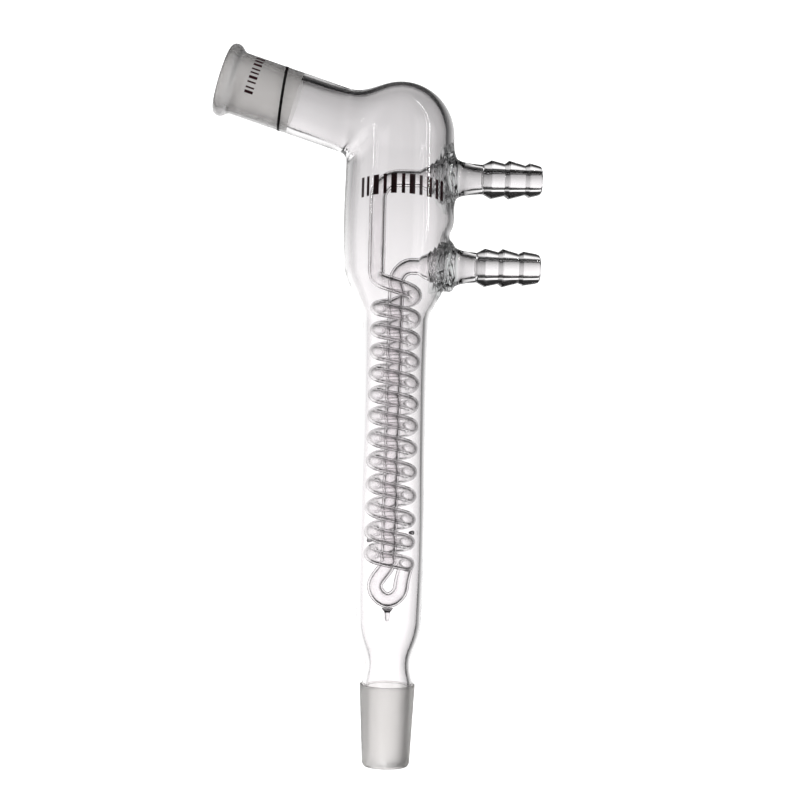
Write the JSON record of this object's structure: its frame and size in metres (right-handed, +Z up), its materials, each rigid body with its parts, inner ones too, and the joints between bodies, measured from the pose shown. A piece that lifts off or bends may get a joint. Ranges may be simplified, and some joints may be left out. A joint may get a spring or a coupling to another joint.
{
  "type": "coil reflux condenser",
  "caption": "Small glass coil reflux condenser with a ground cone below, a slanted ground side socket on a domed bulb and a pair of hose barbs.",
  "frame": {"origin": "centre of the lower end face of the ground cone joint, on the jacket's axis", "axes": "+Z up along the jacket's axis, +X towards the hose barbs, the side arm rises towards -X and 4 degrees to the front (-Y)"},
  "size_m": [0.0867, 0.0282, 0.1876],
  "materials": {
    "clear_glass": "polished",
    "ground_glass": "satin",
    "coil_glass": "polished",
    "seal_glass": "polished",
    "maroon_mark": "matte",
    "black_mark": "matte"
  },
  "bodies": {
    "root": {"cone_joint": "ground_glass", "drip_neck": "clear_glass", "jacket_tube": "clear_glass", "bulb": "clear_glass", "side_arm": "clear_glass", "socket_joint": "ground_glass", "upper_hose_barb": "clear_glass", "lower_hose_barb": "clear_glass", "upper_ring_seal": "seal_glass", "lower_ring_seal": "seal_glass", "inlet_elbow": "coil_glass", "down_tube": "coil_glass", "coil": "coil_glass", "return_bend": "coil_glass", "core_tube": "coil_glass", "outlet_elbow": "coil_glass", "drip_tip": "coil_glass", "spacer_front": "coil_glass", "spacer_right": "coil_glass", "spacer_left": "coil_glass"}
  },
  "joints": []
}
